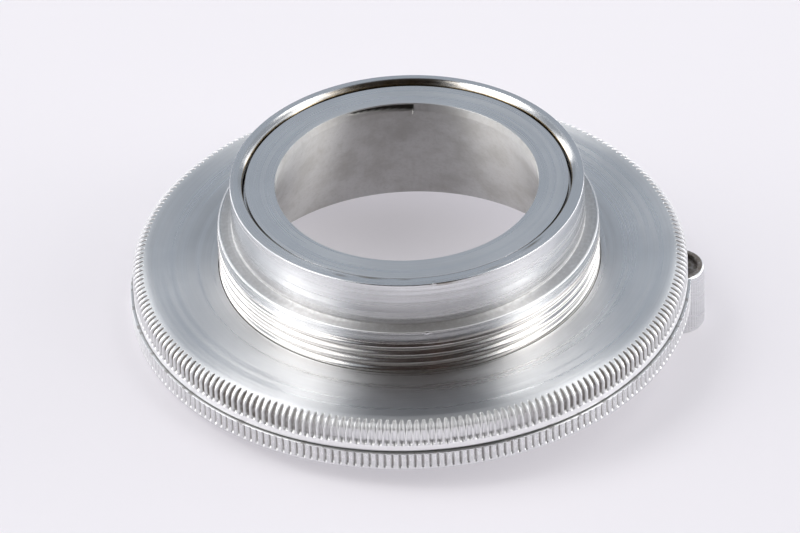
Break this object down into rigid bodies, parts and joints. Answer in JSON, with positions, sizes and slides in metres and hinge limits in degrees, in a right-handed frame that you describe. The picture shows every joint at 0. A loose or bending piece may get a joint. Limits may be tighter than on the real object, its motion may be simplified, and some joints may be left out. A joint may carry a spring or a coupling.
{
  "type": "enlarger lens focusing mount",
  "caption": "Enlarger lens focusing mount: threaded collar and knurled flange, captive focusing ring with a finger post, keyed lens tube that the ring drives along the axis.",
  "frame": {"origin": "on the optical axis, in the plane of the flange's seating face, at the foot of the mounting thread", "axes": "+Z along the optical axis, up into the enlarger's lens board; +X towards the finger post (2 degrees off); +Y completes the right-handed frame"},
  "size_m": [0.0588, 0.0574, 0.02],
  "materials": {
    "turned_aluminium": "turned, satin to bright",
    "knurled_aluminium": "straight knurl, bright crests and dirty grooves",
    "brass": "turned",
    "bronze": "rolled",
    "spring_steel": "rolled",
    "screw_steel": "blackened",
    "fibre": "pressed fibre",
    "felt": "felt"
  },
  "bodies": {
    "mount": {"mount_collar": "turned_aluminium", "mount_flange": "knurled_aluminium", "collar_screws": "screw_steel", "felt_seal": "felt", "guide_key_left": "brass", "guide_key_right": "brass", "guide_key_screws": "screw_steel", "wave_washer": "spring_steel", "glide_washer": "bronze", "retaining_ring": "turned_aluminium", "retainer_lock_screws": "screw_steel", "stop_pin": "screw_steel", "ring_washer": "fibre"},
    "focus": {"focus_ring": "knurled_aluminium", "drive_sleeve": "brass", "focus_ring_screws": "screw_steel", "finger_post": "knurled_aluminium", "post_wedge_screw": "screw_steel", "post_pin": "screw_steel"},
    "tube": {"lens_tube": "turned_aluminium"}
  },
  "joints": [
    {"name": "focus_turn", "type": "hinge", "parent": "mount", "child": "focus", "pos_m": [0, 0, 0], "axis": [0, 0, 1], "range_deg": [0, 120]},
    {"name": "tube_slide", "type": "slide", "parent": "mount", "child": "tube", "axis": [0, 0, -1], "range_m": [0, 0.002]}
  ],
  "couplings": [
    {"joint": "tube_slide", "follows": "focus_turn", "m_per_rad": 0.0009549}
  ]
}
